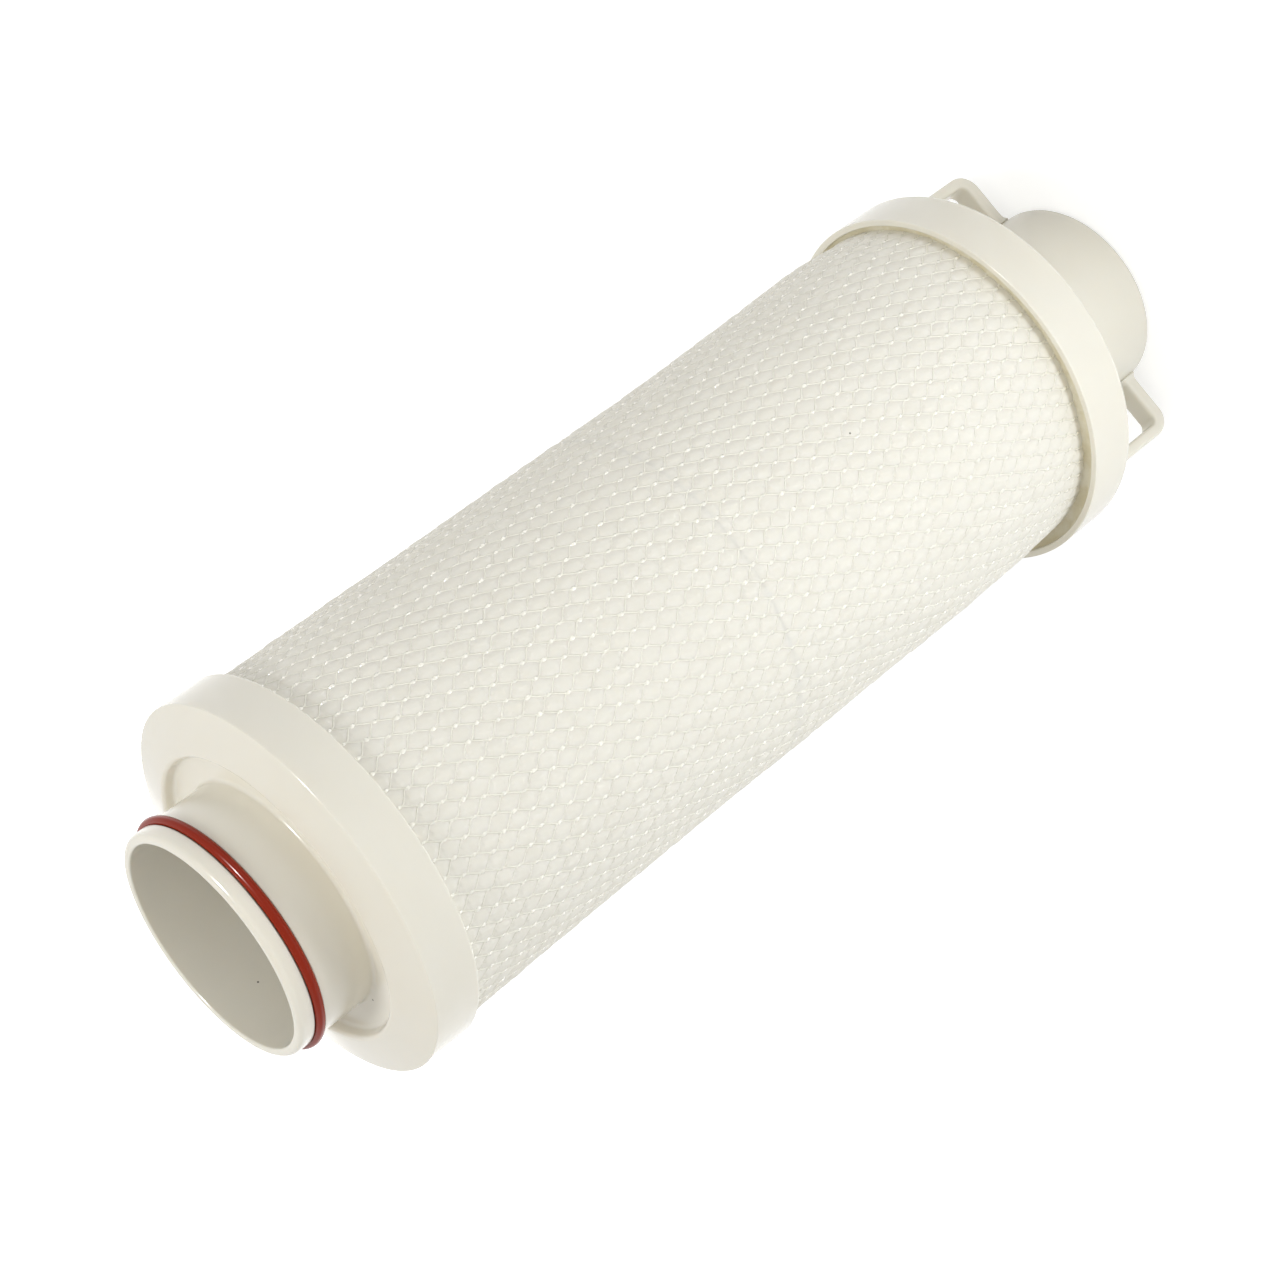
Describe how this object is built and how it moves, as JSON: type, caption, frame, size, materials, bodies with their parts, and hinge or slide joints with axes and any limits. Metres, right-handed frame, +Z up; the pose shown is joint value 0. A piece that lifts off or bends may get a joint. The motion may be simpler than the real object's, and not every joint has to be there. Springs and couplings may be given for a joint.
{
  "type": "carbon filter cartridge",
  "caption": "Large round water filter cartridge with a hexagonal net over white fleece, moulded end caps, an outlet spigot with a red O-ring and a closed end with finger loops.",
  "frame": {"origin": "on the axis, at the end face of the closed end's boss, where the cartridge stands", "axes": "+Z up the axis to the outlet spigot, X through the two finger loops"},
  "size_m": [0.168, 0.168, 0.5053],
  "materials": {
    "cap": "satin",
    "core": "satin",
    "netting": "gloss",
    "fleece": "matte",
    "carbon": "matte",
    "adhesive": "satin",
    "seal": "satin"
  },
  "bodies": {
    "root": {"closed_end_cap": "cap", "closed_end_glue_bed": "adhesive", "core_lower": "core", "core_upper": "core", "inner_fleece_wrap": "fleece", "carbon_block": "carbon", "prefilter_fleece": "fleece", "netting_sleeve": "netting", "outlet_glue_bed": "adhesive", "outlet_end_cap": "cap", "outlet_o_ring": "seal"}
  },
  "joints": []
}
